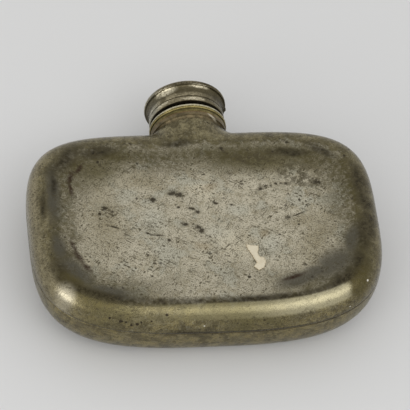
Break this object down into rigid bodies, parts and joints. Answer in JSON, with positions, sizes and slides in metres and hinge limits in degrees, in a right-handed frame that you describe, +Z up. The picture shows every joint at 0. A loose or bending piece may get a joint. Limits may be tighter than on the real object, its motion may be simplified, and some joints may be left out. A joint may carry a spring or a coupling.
{
  "type": "pewter hip flask",
  "caption": "Curved pocket flask lying on its back: two soldered metal halves, a short round neck with a beaded screw collar, and a flared screw cap with a cork seal.",
  "frame": {"origin": "middle of the flat land on the back that the flask rests on, under the centre of the whole object's box", "axes": "+X across the flask, +Y from the base to the cap, +Z up out of the front, which is the side curved inwards"},
  "size_m": [0.125, 0.1036, 0.031],
  "materials": {
    "aged_pewter": "aged pewter, worn satin grey with olive-brown rims",
    "cap_pewter": "handled pewter, satin",
    "dull_brass": "dull, tarnished",
    "grey_solder": "matt grey solder",
    "dark_cork": "pressed cork",
    "old_paper": "torn matt paper"
  },
  "bodies": {
    "flask": {"front_shell": "aged_pewter", "back_shell": "aged_pewter", "seam_solder": "grey_solder", "neck_collar": "dull_brass", "collar_solder": "grey_solder", "paper_label": "old_paper"},
    "seal": {"cork_seal": "dark_cork"},
    "cap": {"cap_shell": "cap_pewter", "cap_bush": "dull_brass"}
  },
  "joints": [
    {"name": "cap_lift", "type": "slide", "parent": "flask", "child": "seal", "axis": [0, 1, 0], "range_m": [0, 0.008]},
    {"name": "cap_turn", "type": "hinge", "parent": "seal", "child": "cap", "pos_m": [0, 0.043, 0.016], "axis": [0, 1, 0], "range_deg": [0, 1440]}
  ],
  "couplings": [
    {"joint": "cap_lift", "follows": "cap_turn", "m_per_rad": 0.0003183}
  ]
}
